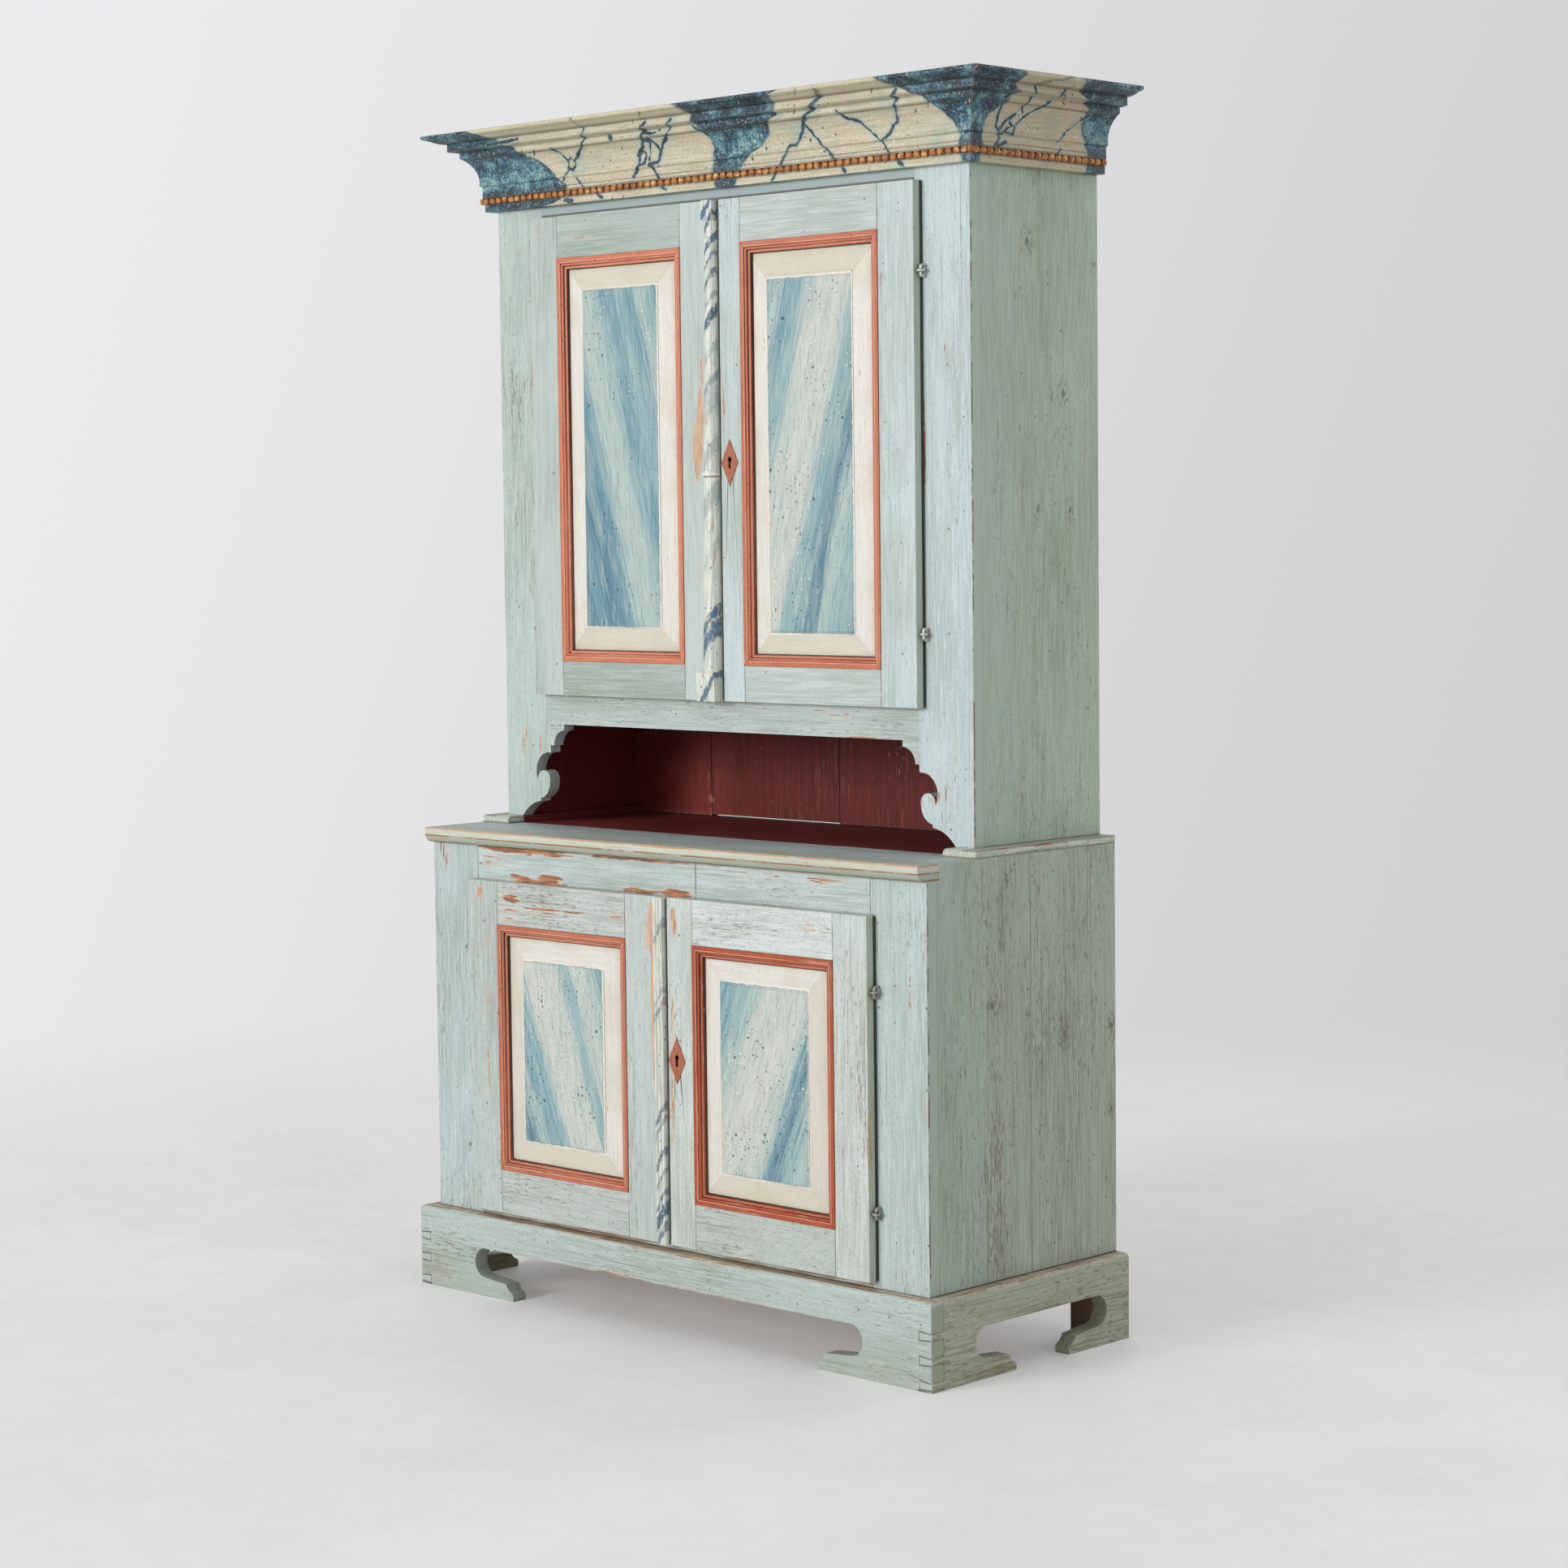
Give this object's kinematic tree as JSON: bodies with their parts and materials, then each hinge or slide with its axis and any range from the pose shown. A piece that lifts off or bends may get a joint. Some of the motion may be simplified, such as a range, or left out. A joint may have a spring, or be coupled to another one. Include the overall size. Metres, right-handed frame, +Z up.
{
  "type": "kas cupboard",
  "caption": "Painted cupboard: shallow upper case with panelled doors over an open niche, on a deeper lower case with doors and a bracket base, under a moulded cornice.",
  "frame": {"origin": "on the floor, under the middle of the whole cupboard's box", "axes": "+X to the right as one faces the doors, +Y to the back, +Z up"},
  "size_m": [1.3332, 0.512, 2.1],
  "materials": {
    "case_paint": "matte dry-brushed paint on pine, worn at the edges",
    "red_paint": "matte terracotta paint on pine",
    "panel_paint": "matte paint, cream bevel round a blue streaked field",
    "cornice_paint": "matte cream paint with blue marbling",
    "gilt": "worn gilding on wood",
    "niche_paint": "matte dark red paint on pine boards",
    "bare_wood": "unfinished aged pine",
    "iron": "worn forged iron with traces of paint",
    "plate": "worn copper-red painted plate"
  },
  "bodies": {
    "case": {"base_back": "bare_wood", "base_blocks": "bare_wood", "base_front": "case_paint", "base_side_left": "case_paint", "base_side_right": "case_paint", "cornice_bead": "gilt", "cornice_front": "cornice_paint", "cornice_left": "cornice_paint", "cornice_right": "cornice_paint", "counter_nosing": "case_paint", "counter_top": "case_paint", "hinge_staples": "iron", "lower_back": "bare_wood", "lower_floor": "bare_wood", "lower_shelf": "bare_wood", "lower_side_left": "case_paint", "lower_side_right": "case_paint", "lower_stile_left": "case_paint", "lower_stile_right": "case_paint", "lower_top_rail": "case_paint", "niche_rail": "case_paint", "runner_left": "case_paint", "runner_right": "case_paint", "upper_back": "niche_paint", "upper_floor": "bare_wood", "upper_roof": "bare_wood", "upper_shelves": "bare_wood", "upper_side_left": "case_paint", "upper_side_right": "case_paint", "upper_stile_left": "case_paint", "upper_stile_right": "case_paint", "upper_top_rail": "case_paint"},
    "lower_right_door": {"lower_escutcheon": "plate", "lower_lock": "iron", "lower_right_door_hinge_eyes": "iron", "lower_right_door_moulding": "red_paint", "lower_right_door_panel": "panel_paint", "lower_right_door_rails": "case_paint", "lower_right_door_stiles": "case_paint"},
    "lower_left_door": {"lower_left_door_hinge_eyes": "iron", "lower_left_door_moulding": "red_paint", "lower_left_door_panel": "panel_paint", "lower_left_door_rails": "case_paint", "lower_left_door_stiles": "case_paint", "lower_reeded_strip": "case_paint"},
    "lower_bolt": {"lower_lock_bolt": "iron"},
    "upper_left_door": {"upper_column": "cornice_paint", "upper_left_door_hinge_eyes": "iron", "upper_left_door_moulding": "red_paint", "upper_left_door_panel": "panel_paint", "upper_left_door_rails": "case_paint", "upper_left_door_stiles": "case_paint"},
    "upper_right_door": {"upper_escutcheon": "plate", "upper_lock": "iron", "upper_right_door_hinge_eyes": "iron", "upper_right_door_moulding": "red_paint", "upper_right_door_panel": "panel_paint", "upper_right_door_rails": "case_paint", "upper_right_door_stiles": "case_paint"},
    "upper_bolt": {"upper_lock_bolt": "iron"}
  },
  "joints": [
    {"name": "upper_left_door_hinge", "type": "hinge", "parent": "case", "child": "upper_left_door", "pos_m": [-0.471, -0.082, 1.5], "axis": [0, 0, -1], "range_deg": [0, 170]},
    {"name": "upper_right_door_hinge", "type": "hinge", "parent": "case", "child": "upper_right_door", "pos_m": [0.471, -0.082, 1.5], "axis": [0, 0, 1], "range_deg": [0, 170]},
    {"name": "lower_left_door_hinge", "type": "hinge", "parent": "case", "child": "lower_left_door", "pos_m": [-0.495, -0.237, 0.45], "axis": [0, 0, -1], "range_deg": [0, 170]},
    {"name": "lower_right_door_hinge", "type": "hinge", "parent": "case", "child": "lower_right_door", "pos_m": [0.495, -0.237, 0.45], "axis": [0, 0, 1], "range_deg": [0, 170]},
    {"name": "upper_bolt_throw", "type": "slide", "parent": "upper_right_door", "child": "upper_bolt", "axis": [-1, 0, 0], "range_m": [0, 0.012]},
    {"name": "lower_bolt_throw", "type": "slide", "parent": "lower_right_door", "child": "lower_bolt", "axis": [-1, 0, 0], "range_m": [0, 0.012]}
  ]
}
